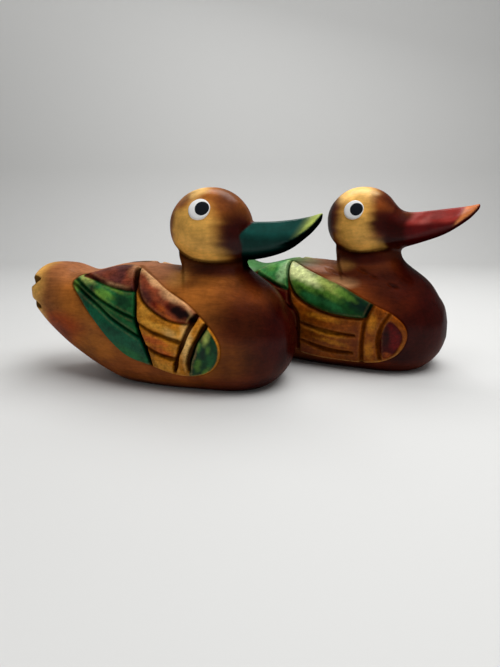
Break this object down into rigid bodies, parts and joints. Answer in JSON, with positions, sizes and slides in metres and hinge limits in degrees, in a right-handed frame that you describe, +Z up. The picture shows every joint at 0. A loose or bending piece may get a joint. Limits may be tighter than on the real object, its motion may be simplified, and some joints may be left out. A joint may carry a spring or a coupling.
{
  "type": "pair of carved ducks",
  "caption": "Pair of carved and stained wooden ducks, standing side by side, with folded wings in relief, scalloped tails, upturned bills and round white eyes.",
  "frame": {"origin": "on the surface that the pair stands on, under the middle of its bounding box", "axes": "+X the way the front duck faces, +Y from the front duck towards the rear duck, +Z up"},
  "size_m": [0.253, 0.1322, 0.1082],
  "materials": {
    "stained_wood": "stained and painted wood under a satin lacquer",
    "eye_white": "thick glossy white enamel with a black pupil"
  },
  "bodies": {
    "root": {"front_duck": "stained_wood", "front_duck_left_eye": "eye_white", "front_duck_right_eye": "eye_white", "rear_duck": "stained_wood", "rear_duck_left_eye": "eye_white", "rear_duck_right_eye": "eye_white"}
  },
  "joints": []
}
